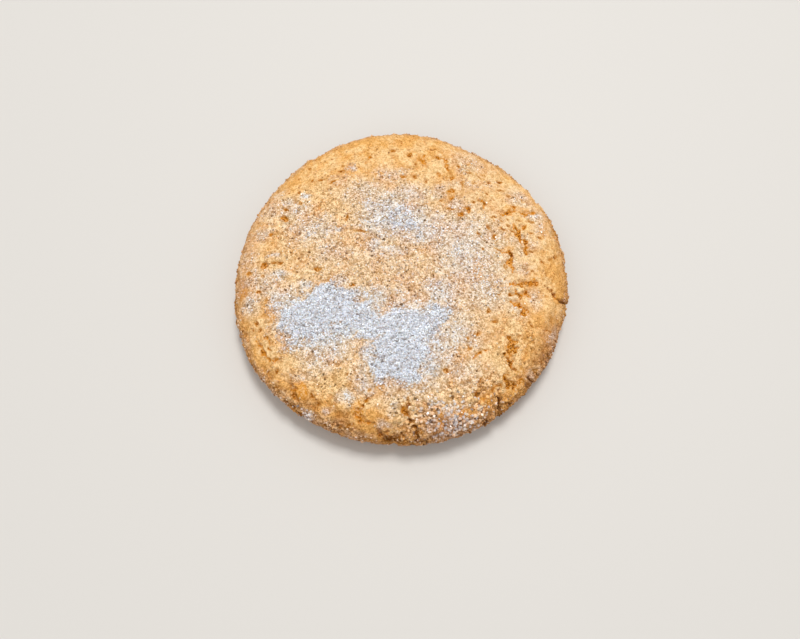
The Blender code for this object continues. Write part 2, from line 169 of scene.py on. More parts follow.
# Where the sugar is only sprinkled
SPRINKLES = patches(
    (-2.0, -2.0, 29.0, 24.0, 0.21), (14.0, 3.0, 11.0, 14.0, 0.52), (17.0, 7.0, 7.0, 6.0, 0.44),
    (17.0, -6.5, 8.0, 7.0, 0.44), (8.8, -6.8, 6.0, 6.4, 0.62), (4.4, 8.6, 8.4, 6.0, 0.64),
    (-1.5, 3.2, 6.5, 2.0, 0.44), (12.0, 14.5, 3.2, 3.0, 0.48), (26.5, 17.5, 4.5, 3.2, 0.34, -30),
    (25.8, -0.8, 3.0, 3.6, 0.28), (26.4, 5.2, 4.6, 3.0, 0.32), (15.0, 20.5, 8.5, 3.0, 0.22),
    (15.5, 27.0, 7.0, 4.2, 0.26, -20), (14.0, 25.0, 2.4, 2.4, 0.36), (-3.0, 11.5, 9.0, 7.0, 0.72),
    (-3.0, 22.5, 5.0, 3.2, 0.3), (-14.0, 20.5, 3.4, 2.6, 0.24), (0.0, 17.0, 8.0, 3.8, 0.48),
    (3.6, 12.5, 3.0, 3.0, 0.6), (-20.0, 8.6, 7.6, 5.6, 0.41), (-24.0, 13.8, 5.6, 4.4, 0.38),
    (-30.0, 15.0, 3.4, 5.0, 0.34, -25), (-8.4, 18.0, 8.0, 4.6, 0.38), (-15.5, 3.0, 6.5, 5.0, 0.34),
    (-35.0, 3.5, 4.0, 12.0, 0.24), (-31.0, 8.2, 3.2, 3.0, 0.34), (-29.5, -4.5, 4.5, 3.5, 0.4),
    (-32.6, -2.8, 2.4, 3.6, 0.46), (-32.6, -9.0, 2.4, 3.4, 0.5), (-24.6, -10.4, 4.0, 6.6, 0.66),
    (-20.8, -5.4, 2.6, 2.0, 0.6), (-26.8, -7.6, 2.6, 3.6, 0.62), (-15.6, -15.2, 7.6, 8.6, 0.72),
    (1.5, -18.0, 11.0, 13.0, 0.8), (-8.8, -7.6, 5.0, 2.6, 0.7), (-5.0, -7.4, 3.4, 3.8, 0.72),
    (-13.5, -4.6, 2.6, 2.4, 0.52), (-7.0, -20.2, 2.4, 3.4, 0.72), (8.2, 18.4, 2.2, 3.6, 0.4),
    (-26.8, -9.6, 3.0, 3.2, 0.66), (-7.2, -26.8, 2.0, 2.8, 0.52), (-19.0, -18.8, 3.6, 2.4, 0.66),
    (-15.4, -31.9, 1.8, 1.4, 0.5), (-3.6, -35.2, 1.8, 1.2, 0.4), (5.2, -9.6, 2.8, 2.8, 0.62),
    (10.6, -11.6, 2.8, 3.0, 0.68), (1.0, -26.5, 5.0, 3.4, 0.4), (-8.8, -25.0, 2.4, 4.2, 0.42),
    (-17.2, -21.0, 4.8, 4.2, 0.52), (-19.8, -25.2, 4.4, 2.0, 0.26), (11.2, -16.8, 7.2, 7.6, 0.5),
    (11.5, -25.0, 9.0, 6.0, 0.3), (5.4, -30.8, 3.4, 2.8, 0.52), (9.5, -33.6, 9.6, 4.6, 0.44, 12),
    (24.4, -10.5, 3.0, 3.0, 0.3), (30.5, 13.0, 3.0, 3.2, 0.4), (31.4, 9.6, 2.8, 3.4, 0.28),
    (24.8, 6.4, 1.6, 1.6, 0.4), (31.8, -15.6, 2.0, 2.8, 0.38, -30), (28.0, -25.5, 3.0, 3.0, 0.45),
    (-11.4, -29.6, 2.1, 1.9, 0.72, -30), (-2.0, -31.6, 1.6, 1.6, 0.42), (-19.6, -33.2, 2.8, 1.3, 0.7, -30),
    (-12.0, 24.6, 1.6, 1.2, 0.75), (-22.3, 17.6, 1.2, 1.3, 0.9), (-25.8, 16.2, 2.4, 1.6, 0.5),
    (-5.8, 4.4, 2.2, 3.2, 0.62), (-7.0, 14.2, 3.2, 3.6, 0.62), (10.0, -21.4, 2.6, 2.6, 0.55),
    (28.4, -8.0, 2.2, 2.6, 0.3), (-14.8, 9.0, 2.6, 1.2, 0.55), (-28.0, 1.7, 1.4, 0.8, 0.5),
    (-26.2, -2.6, 2.6, 1.8, 0.6),
)

# Where many of the sugar grains are large
LARGE_SUGAR = patches(
    (11.0, -32.5, 13.0, 6.0, 1.0, 12), (-20.6, -31.4, 3.6, 2.2, 0.8, -30),
)

# Where the crumb is coarse and craggy
COARSE_ZONES = patches(
    (10.0, -32.0, 15.0, 8.0, 1.0, 12), (-16.0, -30.0, 14.0, 7.0, 0.4, -25),
    (27.0, -21.0, 9.0, 11.0, 0.4, 30), (-33.0, -10.0, 5.0, 9.0, 0.2), (-20.0, 11.0, 13.0, 9.0, 0.35),
)

# Where the dough is baked less than round it
PALE_ZONES = patches(
    (24.2, 5.0, 5.2, 7.4, 1.0), (28.0, 18.6, 4.0, 6.4, 0.7, 35), (21.8, -22.8, 3.4, 5.6, 0.7),
    (24.2, -10.6, 2.6, 2.8, 0.6), (5.6, 27.2, 4.4, 2.4, 0.5), (1.8, -31.2, 5.4, 3.4, 1.0),
    (12.6, -30.4, 4.8, 2.6, 0.6), (-6.6, -28.4, 7.4, 2.4, 0.5), (24.4, -9.4, 3.4, 4.4, 0.8),
    (-13.4, 14.6, 4.2, 2.2, 0.5), (-29.2, -18.8, 3.0, 3.4, 0.9), (-28.2, 6.5, 2.0, 2.0, 0.5),
    (-26.4, 13.0, 3.0, 2.8, 0.7), (-21.3, 21.1, 2.6, 2.0, 0.5),
)

# Where the dough is baked more than round it
BROWN_ZONES = patches(
    (31.0, -14.6, 3.0, 6.0, 0.4), (1.6, 23.0, 3.4, 4.4, 0.6), (18.8, -16.4, 4.4, 2.8, 0.8),
    (17.2, -6.8, 2.4, 2.2, 0.4), (8.4, -34.4, 5.0, 2.4, 0.5, 12), (-12.2, -33.4, 2.0, 2.0, 0.6),
    (-29.0, 3.6, 3.2, 2.2, 0.7), (28.4, -19.6, 2.6, 3.0, 0.4), (-34.8, -4.8, 2.0, 3.0, 0.4),
    (-3.4, -32.9, 2.6, 2.2, 0.4), (-18.4, -29.6, 2.6, 2.4, 0.4), (2.4, -4.8, 6.4, 5.4, 0.6),
    (25.2, -24.2, 2.8, 2.6, 0.3), (27.3, 10.2, 2.2, 2.2, 0.4), (29.6, -3.4, 1.8, 1.8, 0.4),
    (-25.7, 19.6, 2.0, 1.8, 0.4), (9.9, 19.6, 2.6, 3.4, 0.6), (-4.6, 27.2, 3.8, 2.6, 0.4),
    (11.0, 6.0, 2.6, 2.8, 0.4),
)

# Sound skin without small fissures
SOUND_ZONES = patches(
    (25.6, 2.6, 4.4, 7.4, 1.0), (28.4, -7.6, 2.6, 3.0, 1.0), (-29.2, -19.0, 3.0, 3.0, 1.0),
)

# Where the skin has flaked away and bares amber dough
BARE_PLACES = patches(
    (-21.0, -28.0, 2.4, 1.9, 0.8), (13.6, -32.2, 1.7, 1.0, 0.6), (-4.5, -27.8, 1.1, 1.5, 0.35),
    (26.9, 14.0, 2.4, 1.2, 0.4), (10.8, 29.4, 1.8, 1.6, 0.35), (24.8, -24.4, 2.4, 2.0, 0.4),
    (22.6, -25.8, 2.2, 1.0, 0.5), (22.1, -19.8, 1.0, 2.8, 0.6), (33.6, -7.2, 1.4, 1.0, 0.6),
    (0.6, -32.2, 1.0, 1.4, 0.45), (27.2, 5.0, 1.2, 1.6, 0.35), (25.2, -9.2, 1.6, 1.6, 0.45),
    (-9.1, -32.1, 1.5, 2.0, 0.85), (23.2, 3.7, 1.8, 0.9, 0.45), (24.4, 14.2, 1.8, 1.2, 0.45),
    (-12.1, 25.4, 1.4, 1.1, 0.45), (-28.8, -10.4, 1.2, 3.2, 0.4), (16.9, -30.4, 1.5, 1.2, 0.65),
    (12.2, -32.8, 1.4, 1.0, 0.6), (-27.5, -12.7, 1.0, 1.6, 0.45), (8.2, -34.1, 1.2, 1.4, 0.7),
    (12.8, -20.2, 1.8, 1.8, 0.35), (2.4, 28.7, 2.2, 1.5, 0.35), (-34.5, -6.3, 1.2, 1.9, 0.4),
    (30.6, -16.4, 1.2, 2.0, 0.3), (16.4, -1.6, 1.4, 3.0, 0.25), (32.1, 8.4, 1.6, 2.0, 0.25),
)

# The middle of the top, where crumb and sprinkle are even
EVEN_ZONE = patches((-9.0, -7.0, 30.0, 29.0, 0.8))

# Each piece of grains adds its own step to the seed, so that no two of them lie alike
SEED_STEPS = {"crumbs": 0, "sand": 50, "sugar_heaps": 100, "sugar_sprinkle": 200}

# The least width and thickness of a grain, as a share of its length
NARROWEST = 0.6

# How much the dough shines, and how much light seeps into the dough and into the sugar
DOUGH_SHEEN = 0.15
DOUGH_SEEP = 0.06
SUGAR_SEEP = 0.5

# The nearly white light of the lamps and of the room
LAMP_COLOUR = (1.0, 0.985, 0.965)
ROOM_COLOUR = (1.0, 0.995, 0.985, 1.0)

# Width of the camera's sensor, in millimetres
SENSOR_WIDTH = 36.0

# Kinds of sockets of the node groups
NUMBER, VECTOR, COLOUR = "NodeSocketFloat", "NodeSocketVector", "NodeSocketColor"


def length(name, description, default, low, high):
    """A setting that is a length, given here in millimetres."""
    return FloatProperty(
        name=name, description=description, default=default * MM, min=low * MM, max=high * MM,
        precision=5, unit="LENGTH",
    )


def amount(name, description, default, high, low=0.0):
    """A setting that is a plain number."""
    return FloatProperty(name=name, description=description, default=default, min=low, max=high)


def power(name, description, default):
    """A setting that is the power of a light."""
    return FloatProperty(name=name, description=description, default=default, min=0.0, unit="POWER")


def tint(name, description, red, green, blue):
    """A setting that is a colour."""
    return FloatVectorProperty(
        name=name, description=description, default=(red, green, blue, 1.0), min=0.0, max=1.0,
        subtype="COLOR", size=4,
    )


class PolvoronCrust(bpy.types.PropertyGroup):
    """Sizes and colours of the baked crust."""

    thickness: length("Thickness", "Height of the biscuit without its sugar", 12.0, 5.0, 25.0)
    waist_height: length("Waist Height", "Height at which the side is widest", 4.6, 1.0, 10.0)
    foot_inset: length("Foot Inset", "How far the base is tucked in under the side", 3.6, 0.5, 8.0)
    shoulder_power: amount(
        "Shoulder Power", "How flat the top stays before it rolls over", 5.5, 12.0, low=2.0,
    )
    swell_height: length("Swell Height", "Height of the broad unevenness of the top", 0.30, 0.0, 2.0)
    crag_height: length("Crag Height", "Depth of the hollows between the crags", 0.28, 0.0, 2.0)
    crumb_height: length("Crumb Height", "Height of the sandy crumb of the surface", 0.20, 0.0, 1.0)
    wall_height: length("Wall Crag Height", "Height of the crumbly lumps round the side", 0.40, 0.0, 2.0)
    heap_height: length("Heap Height", "How far the heaps of sugar stand up", 0.95, 0.0, 3.0)
    triangles: IntProperty(
        name="Triangles", description="Triangles left in the finished crust",
        default=190000, min=5000, max=200000,
    )
    pale: tint("Pale", "Sandy skin of the top", 0.845, 0.545, 0.250)
    gold: tint("Gold", "Baked crust between the pale grains", 0.765, 0.395, 0.112)
    amber: tint("Amber", "Moist crumb inside the cracks", 0.74, 0.285, 0.014)
    # Painted shade in the depths of the deepest cracks
    painted_shade: tint("Crack Shade", "Depth of the deepest cracks", 0.17, 0.05, 0.006)
    brown: tint("Brown", "Darkest baking, round the foot and on the walls of cracks", 0.38, 0.13, 0.015)


class PolvoronSugar(bpy.types.PropertyGroup):
    """Sizes, amounts and colours of the sugar and the loose crumbs."""

    smallest: length("Smallest Grain", "Longest side of the smallest grain", 0.24, 0.05, 2.0)
    largest: length("Largest Grain", "Longest side of the largest common grain", 0.44, 0.05, 2.0)
    coarsest: length("Coarsest Grain", "Longest side where the sugar is coarse", 0.72, 0.05, 3.0)
    heap_grains: amount("Heap Grains", "Grains on each square millimetre of a heap", 25.0, 60.0)
    sprinkle_grains: amount(
        "Sprinkle Grains", "Grains on each square millimetre of the thickest sprinkle", 9.0, 30.0,
    )
    crumb_grains: amount("Crumb Grains", "Crumbs on each square millimetre of crust", 0.8, 10.0)
    sand_grains: amount("Sand Grains", "Fine grains of dough on each square millimetre of crust", 2.8, 10.0)
    seed: IntProperty(name="Seed", description="Changes where every grain lies", default=11, min=0)
    # The White has a painted cool tint of daylight over the sugar's own white
    white: tint("White", "Colour where the sugar lies thick", 0.84, 0.855, 0.93)
    # The Veil is the sugar's white darkened by painted shade between the fine grains, with the same painted
    # cool tint
    veil: tint("Veil", "Colour of the crust where the finest sugar lies in it", 0.68, 0.71, 0.73)


class PolvoronStage(bpy.types.PropertyGroup):
    """Camera, lights and floor."""

    elevation: FloatProperty(
        name="Elevation", description="Angle of the camera above the floor",
        default=math.radians(68.0), min=0.0, max=math.pi / 2, subtype="ANGLE",
    )
    distance: length("Distance", "From the camera to the point that it aims at", 149.6, 50.0, 2000.0)
    aim: FloatVectorProperty(
        name="Aim", description="Point that the camera looks at",
        default=(-0.48 * MM, -10.93 * MM, 6.0 * MM), precision=5, subtype="TRANSLATION", size=3,
    )
    lens: amount("Lens", "Focal length on a sensor 36 mm wide, in millimetres", 30.78, 200.0, low=10.0)
    key_power: power("Key Power", "Window behind", 8.8)
    fill_power: power("Fill Power", "Soft light in front", 1.5)
    ambient: FloatProperty(name="Ambient", description="Strength of the world", default=0.57, min=0.0)
    floor: tint("Floor", "Colour of the floor", 0.66, 0.64, 0.61)


# Forms and fields, all worked out for many points at once


def smooth_step(value, low, high):
    """Go from 0 at low to 1 at high without corners."""
    share = np.clip((value - low) / (high - low), 0.0, 1.0)
    return share * share * (3.0 - 2.0 * share)


def ripple(points, wavelength, seed):
    """Smooth noise between about -1 and 1 at each point. Each seed gives a pattern of its own."""
    shift_x, shift_y, shift_z = seed * 3.7, seed * 1.9, seed * 5.3
    places = (points / wavelength).tolist()
    return np.array([noise.noise((x + shift_x, y + shift_y, z + shift_z)) for x, y, z in places])


def cell_border(places):
    """How far each place lies from the border of its Voronoi cell, 0 on the border."""
    nearest = [noise.voronoi(place)[0] for place in places.tolist()]
    return np.array([second - first for first, second, _, _ in nearest])


def plan_radius(angle):
    """The outline's radius at each angle: a smooth closed curve through OUTLINE."""
    count = len(OUTLINE)
    place = (angle % math.tau) / math.tau * count
    first = np.floor(place).astype(int)
    share = place - first
    before, here, ahead, beyond = (np.take(OUTLINE, (first + step) % count) for step in (-1, 0, 1, 2))
    slope_here = (ahead - before) / 2
    slope_ahead = (beyond - here) / 2
    square, cube = share**2, share**3
    curve = (2 * cube - 3 * square + 1) * here + (cube - 2 * square + share) * slope_here
    curve += (3 * square - 2 * cube) * ahead + (cube - square) * slope_ahead
    return curve * WIDTH / 2


def crown_height(share, crust):
    """Height of the plain top at a share of the plan radius, down to the waist at 1."""
    rise = crust.thickness - crust.heap_height / 2 - crust.waist_height
    return crust.waist_height + rise * np.sqrt(1.0 - np.clip(share, 0.0, 1.0) ** crust.shoulder_power)


def side_profile(crust):
    """Points of the half section from the middle of the top to the middle of the base.

    Each has the length along the section so far, the inset from the outline and the height.
    """
    radius = WIDTH / 2
    crown_points, corner_points = 400, 60
    share = 1.0 - (1.0 - np.linspace(0.0, 1.0, crown_points)) ** 2
    turn = np.linspace(0.0, math.pi / 2, corner_points)[1:]
    inwards = np.linspace(crust.foot_inset, radius, corner_points)[1:]
    inset = np.concatenate([radius * (1 - share), crust.foot_inset * (1 - np.cos(turn)), inwards])
    height = np.concatenate(
        [crown_height(share, crust), crust.waist_height * (1 - np.sin(turn)), 0 * inwards]
    )
    length = np.concatenate([[0.0], np.cumsum(np.hypot(np.diff(inset), np.diff(height)))])
    return length, inset, height


def along_and_across(x, y, shape):
    """Millimetres from the middle of a turned mark or patch, along it and across it."""
    turn = math.radians(shape.turn)
    from_x, from_y = x / MM - shape.x, y / MM - shape.y
    along = from_x * math.cos(turn) + from_y * math.sin(turn)
    across = from_y * math.cos(turn) - from_x * math.sin(turn)
    return along, across


def patch_cover(x, y, chosen, inner, outer):
    """How much the chosen patches cover each place, from 0 to 1. Cover fades from inner to outer."""
    cover = np.zeros_like(x)
    for patch in chosen:
        along, across = along_and_across(x, y, patch)
        distance = np.hypot(along / patch.half_x, across / patch.half_y)
        cover = np.maximum(cover, patch.cover * (1.0 - smooth_step(distance, inner, outer)))
    return cover


def crack_edge(x, y, crack, wobble):
    """Distance outside a crack's lips. It is negative inside."""
    edge = np.full_like(x, np.inf)
    spans = len(crack.path) - 1
    runs_out = math.hypot(*crack.path[-1]) * MM > WIDTH / 2
    for index, (start, end) in enumerate(zip(crack.path, crack.path[1:])):
        start, end = np.array(start) * MM, np.array(end) * MM
        run = end - start
        share = np.clip(((x - start[0]) * run[0] + (y - start[1]) * run[1]) / (run @ run), 0.0, 1.0)
        distance = np.hypot(x - start[0] - share * run[0], y - start[1] - share * run[1])
        # A crack narrows to its ends, unless it runs out over the rim
        along = (index + share) / spans
        fullness = np.sin(math.pi * (along / 2 if runs_out else along))
        half = crack.width * MM / 2 * (0.45 + 0.6 * fullness) * (1.0 + 0.8 * wobble)
        edge = np.minimum(edge, distance - half)
    return edge


def mark_edge(x, y, mark, wobble):
    """Distance outside an elliptical mark, about. It is negative inside."""
    along, across = along_and_across(x, y, mark)
    half = mark.width / 2 * (1.0 + 0.4 * wobble)
    return (np.hypot(along * mark.width / mark.length, across) - half) * MM


def openness(edge):
    """1 well inside an opening, 0.5 at its edge and 0 well outside, from the distance outside it."""
    return np.clip(0.5 - edge / EDGE_BAND, 0.0, 1.0)


def top_share(z, crust):
    """1 on the top and 0 below the waist."""
    return smooth_step(z, crust.waist_height, crust.thickness * 0.8)


class CrustFields:
    """What the relief of the crust follows at a set of points: heaps, crumb and cracks."""

    def __init__(self, points):
        self.points = points
        self.x, self.y, self.z = points[:, 0], points[:, 1], points[:, 2]
        self.angle = np.arctan2(self.y, self.x)
        self.share = np.hypot(self.x, self.y) / plan_radius(self.angle)
        self.lay_heaps()
        self.roughen()
        self.crack = np.zeros_like(self.x)
        self.depth = np.zeros_like(self.x)
        self.moist = np.zeros_like(self.x)
        self.open_cracks()
        self.open_fissures()

    def wave(self, wavelength, seed):
        """Smooth noise at the points, with its wavelength in millimetres."""
        return ripple(self.points, wavelength * MM, seed)

    def cover(self, chosen, inner, outer):
        """How much the chosen patches cover the points."""
        return patch_cover(self.x, self.y, chosen, inner, outer)

    def lay_heaps(self):
        """Find the heaps of sugar and the coarse crumb, both with ragged edges."""
        drift_x, drift_y = self.wave(2.6, 21) * MM, self.wave(2.6, 22) * MM
        self.heap = patch_cover(self.x + 1.6 * drift_x, self.y + 1.6 * drift_y, HEAPS, 0.32, 1.36)
        fringe = 0.6 * self.wave(1.8, 28) + self.wave(0.6, 29)
        self.piled = np.clip(1.3 * self.heap - 0.15 + 0.45 * fringe, 0.0, 1.0)
        self.piled *= smooth_step(self.heap, 0.02, 0.35)
        self.thick = smooth_step(self.heap + 0.25 * fringe * (self.heap > 0.0), 0.05, 0.95)
        self.coarse = patch_cover(self.x + 2 * drift_x, self.y + 2 * drift_y, COARSE_ZONES, 0.4, 1.2)

    def roughen(self):
        """Find the crests of the crumb and how gritty it is. The skin near the rim is smoother."""
        self.crest = 0.65 * self.wave(1.15, 41) + 0.95 * self.wave(0.62, 42)
        self.crest += 1.1 * self.coarse * self.wave(2.1, 43)
        self.even = self.cover(EVEN_ZONE, 0.45, 1.25)
        self.skin = smooth_step(self.share, 0.82, 0.92) * (1.0 - self.coarse)
        self.grit = np.clip(0.15 + 0.6 * self.even + 1.1 * self.coarse + self.thick, 0.0, 1.0)
        self.grit *= 1.0 - 0.7 * self.skin

    def open_cracks(self):
        """Open the cracks and marks along wandering lips, and find where the skin is gone."""
        warped_x = self.x + (0.30 * self.wave(1.9, 23) + 0.40 * self.wave(0.75, 24)) * MM
        warped_y = self.y + (0.30 * self.wave(1.9, 25) + 0.40 * self.wave(0.75, 26)) * MM
        blocks = 2.0 * self.wave(0.9, 27)
        for crack in CRACKS:
            # A shallow crack bares moist amber dough, and a deep one gets painted shade in its core
            moist = np.interp(crack.depth, (0.6, 1.0), (1.0, 0.15))
            self.widen(openness(crack_edge(warped_x, warped_y, crack, blocks)), crack.depth * MM, moist)
        near_x = self.x + 0.75 * (warped_x - self.x)
        near_y = self.y + 0.75 * (warped_y - self.y)
        for mark in MARKS:
            edge = mark_edge(near_x, near_y, mark, 0.6 * blocks)
            moist = min(1.0, 1.4 * (mark.width - 0.35))
            self.widen(openness(edge - MARK_MARGIN), 0.5 * mark.width * MM, moist)
        self.bare = patch_cover(warped_x, warped_y, BARE_PLACES, 0.6, 1.15)

    def open_fissures(self):
        """Open the small fissures of the top, away from heaps and sound skin, and those of the side."""
        sound = self.cover(SOUND_ZONES, 0.7, 1.1)
        self.widen(self.small_fissures() * (1.0 - self.heap) * (1.0 - sound), 0.18 * MM, 0.2)
        self.widen(self.wall_fissures(), 0.45 * MM, 0.3)

    def widen(self, near, depth, moist):
        """Open the surface further where near is over a half. A moist opening shows amber."""
        self.crack = np.maximum(self.crack, near)
        self.depth = np.maximum(self.depth, smooth_step(near, 0.30, 0.80) * depth)
        self.moist = np.maximum(self.moist, smooth_step(near, 0.30, 0.65) * moist)

    def small_fissures(self):
        """Broken threads and comma pits, thickest at the upper right and next at the lower left."""
        thread = 0.62 * (1.0 - smooth_step(cell_border(self.points / (2.6 * MM)), 0.0, 0.20))
        thread *= smooth_step(self.wave(2.0, 31), 0.22, 0.40)
        comma = 0.75 * smooth_step(-self.wave(1.0, 32), 0.42, 0.64)
        comma *= smooth_step(self.wave(3.5, 33), -0.20, 0.20)
        ring = smooth_step(self.share, 0.36, 0.62) * (1.0 - smooth_step(self.share, 0.84, 0.95))
        upper_right, lower_left = math.radians(40.0), math.radians(228.0)
        side = 0.30 + 0.70 * smooth_step(np.cos(self.angle - upper_right), -0.30, 0.45)
        side = np.maximum(side, 0.6 * smooth_step(np.cos(self.angle - lower_left), 0.5, 0.85))
        return np.maximum(thread, comma) * ring * side

    def wall_fissures(self):
        """Ragged upright cracks round the side, below the edge that shows from above."""
        upright = self.points * (1.0, 1.0, 0.4)
        band = smooth_step(self.z, 0.6 * MM, 2.0 * MM) * (1.0 - smooth_step(self.z, 5.5 * MM, 8.0 * MM))
        fissure = 1.0 - smooth_step(cell_border(upright / (5.0 * MM)), 0.02, 0.14)
        return fissure * smooth_step(self.wave(4.0, 34), 0.0, 0.25) * band


class CrustCover(CrustFields):
    """What the finished crust wears at its points: sugar, browning and loose crumb."""

    def __init__(self, points, normals, crust):
        super().__init__(points)
        self.above_waist = self.z > crust.waist_height
        self.on_top = top_share(self.z, crust)
        self.base = smooth_step(-normals[:, 2], 0.55, 0.95)
        self.side = smooth_step(self.share, 0.92, 0.99)
        self.closed = (1.0 - smooth_step(self.crack, 0.30, 0.50)) * (1.0 - self.bare)
        self.large = self.cover(LARGE_SUGAR, 0.4, 1.2)
        self.heaped = self.piled * self.on_top
        self.sprinkled = self.sprinkle()
        wall = smooth_step(self.share, 0.93, 1.0) * (1.0 - smooth_step(self.z, 6.0 * MM, 9.5 * MM))
        sanded = self.grit + smooth_step(self.sprinkled, 0.10, 0.40) + self.base + 0.6 * wall
        self.sanded = np.clip(sanded, 0.0, 1.0)

    def sprinkle(self):
        """How thickly sugar is sprinkled. Large grains also reach a little way down the side."""
        drift_x, drift_y = 1.3 * MM * self.wave(2.6, 53), 1.3 * MM * self.wave(2.6, 54)
        reached = np.maximum(self.on_top, self.large * smooth_step(self.z, 2.0 * MM, 5.0 * MM))
        reached *= self.closed
        return patch_cover(self.x + drift_x, self.y + drift_y, SPRINKLES, 0.0, 1.45) * reached

    def sugar(self):
        """Where grains are heaped, sprinkled or coarse, and how frosted the crust is between them."""
        broad, fine = self.wave(3.4, 51), self.wave(1.4, 52)
        crests = 1.0 + 0.20 * broad + (0.12 + 0.9 * self.coarse) * fine
        frost = np.clip(self.sprinkled * crests, 0.0, 1.0)
        frost = np.maximum(frost, 1.5 * self.thick**1.5 * self.on_top) * (1.0 - 0.4 * self.large)
        stuck = smooth_step(self.wave(7.0, 55) + 0.7 * fine, -0.5, 1.0) * self.side
        frost = np.maximum(frost, 0.18 * stuck * self.closed)

        dust = self.sprinkled * np.clip(1.0 + 0.8 * broad + 0.6 * fine, 0.0, 1.6) * (0.4 + 0.75 * self.even)
        clumps = smooth_step(self.wave(1.7, 56), -0.25, 0.35)
        dust = np.clip(np.maximum(dust, (0.50 + 0.50 * clumps) * self.large * self.sprinkled), 0.0, 1.0)
        dust = np.maximum(dust, 0.06 * self.side * (self.z > 1.0 * MM) * (1.0 - self.base))
        dust = dust * (1.0 - self.heaped)
        return {"heap": self.heaped**2, "dust": dust, "frost": frost, "coarse": self.large}

    def dough(self):
        """How gritty, raised, open, moist, flaked and browned the dough is."""
        rim = smooth_step(self.share, 0.80, 0.97)
        low = 1.0 - smooth_step(self.z, 5.0 * MM, 8.5 * MM)
        baked = self.cover(BROWN_ZONES, 0.5, 1.2) - self.cover(PALE_ZONES, 0.5, 1.2)
        return {
            "grit": self.sanded,
            "crest": np.clip(0.5 + 0.7 * self.crest, 0.0, 1.0),
            "crack": self.crack * self.above_waist,
            "moist": self.moist,
            "bare": self.bare * self.on_top,
            "browning": rim * (0.92 + 0.45 * low) + self.base + baked,
        }

    def crumb(self):
        """Where loose sand and crumbs of dough stick."""
        loose = (1.0 - self.base) * (1.0 - self.heaped) * smooth_step(self.z, 0.4 * MM, 1.2 * MM)
        loose = loose * (1.0 - 0.6 * self.skin) * self.closed
        return {
            "sandy": loose * (0.25 + 0.75 * self.sanded),
            "crumbly": loose * (0.3 * self.sanded + self.coarse),
        }


def crust_relief(points, normals, crust):
    """Move the plain form's points into the baked one."""
    fields = CrustFields(points)
    free = smooth_step(fields.z, 0.0, crust.waist_height)
    upright = points * (1.0, 1.0, 0.5)
    swollen = points.copy()
    swollen[:, :2] *= (1.0 + free * 0.35 * MM * ripple(upright, 6.0 * MM, 1) / (WIDTH / 2))[:, None]

    lift = crust.swell_height * ripple(swollen, 17.0 * MM, 2)
    crags = ripple(swollen, 4.0 * MM, 3) + 0.5 * ripple(swollen, 2.0 * MM, 4)
    lift += crust.crag_height * np.minimum(crags, 0.25)
    lumps = 0.75 + 0.35 * ripple(swollen, 1.9 * MM, 5)
    heaped = crust.heap_height * fields.heap * lumps
    swollen[:, 2] += top_share(fields.z, crust) * (lift * (1 - fields.heap) + heaped)

    wall = smooth_step(fields.z, 0.3 * MM, 1.5 * MM) * smooth_step(fields.share, 0.86, 0.98)
    crumbly = 0.4 + 0.4 * fields.grit + 1.2 * fields.coarse + 0.5 * fields.crack
    crumbly += 0.3 * wall * (fields.z < 10.0 * MM)
    outwards = crust.crumb_height * fields.crest * crumbly
    outwards += crust.wall_height * wall * np.minimum(fields.wave(2.4, 6) + fields.wave(1.3, 7), 0.3)
    outwards -= fields.depth * smooth_step(fields.z, 0.5 * MM, 1.5 * MM)
    return swollen + normals * (free * outwards)[:, None]


def crust_form(sphere, crust):
    """Press the points of a sphere into the biscuit's plain form."""
    angle = np.arctan2(sphere[:, 1], sphere[:, 0])
    fall = np.arccos(np.clip(sphere[:, 2], -1.0, 1.0))

    # Most of the sphere goes to the top and the side, and the rest to the base
    length, inset, height = side_profile(crust)
    foot = length[np.argmax(height <= 0.0)]
    split = math.radians(138.0)
    under = foot + (fall - split) / (math.pi - split) * (length[-1] - foot)
    walked = np.where(fall <= split, fall / split * foot, under)
    radius = plan_radius(angle) * (1.0 - np.interp(walked, length, inset) / (WIDTH / 2))
    z = np.interp(walked, length, height)
    return np.stack([radius * np.cos(angle), radius * np.sin(angle), z], axis=1)


# Meshes and pieces


def read_rows(items, field):
    """Three numbers of each item of a mesh, as rows."""
    rows = np.empty(len(items) * 3)
    items.foreach_get(field, rows)
    return rows.reshape(-1, 3)


def set_points(mesh, points):
    """Give a mesh new places for its vertices."""
    mesh.vertices.foreach_set("co", points.ravel())
    mesh.update()


def store(mesh, name, values):
    """Keep one number for each vertex under a name that nodes can read."""
    attribute = mesh.attributes.new(name, "FLOAT", "POINT")
    attribute.data.foreach_set("value", values.astype(np.float32))


def bmesh_to_mesh(shape, name):
    """Turn a finished bmesh into a named mesh."""
    mesh = bpy.data.meshes.new(name)
    shape.to_mesh(mesh)
    shape.free()
    return mesh


def add_object(name, data):
    """Link a new object that holds a mesh, a light or a camera."""
    added = bpy.data.objects.new(name, data)
    bpy.context.scene.collection.objects.link(added)
    return added


def apply_modifiers(piece):
    """Replace a piece's mesh by the one its modifiers make."""
    bpy.context.view_layer.update()
    graph = bpy.context.evaluated_depsgraph_get()
    finished = bpy.data.meshes.new_from_object(piece.evaluated_get(graph))
    piece.modifiers.clear()
    old = piece.data
    piece.data = finished
    bpy.data.meshes.remove(old)
    finished.name = piece.name


def hand_over(piece):
    """Attach a finished piece to the body that it moves with, and hide the part that it stands for."""
    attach(piece, BODY)
    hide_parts(NODE)


# Node trees


def feed(receiver, inputs):
    """Link or set inputs of a node. Each value is a socket to link or a value to set."""
    for name, value in inputs.items():
        if isinstance(value, bpy.types.NodeSocket):
            receiver.id_data.links.new(value, receiver.inputs[name])
        else:
            receiver.inputs[name].default_value = value


def node(tree, kind, inputs=None, **properties):
    """Add a node with its properties and inputs."""
    made = tree.nodes.new(kind)
    for name, value in properties.items():
        setattr(made, name, value)
    feed(made, inputs or {})
    return made


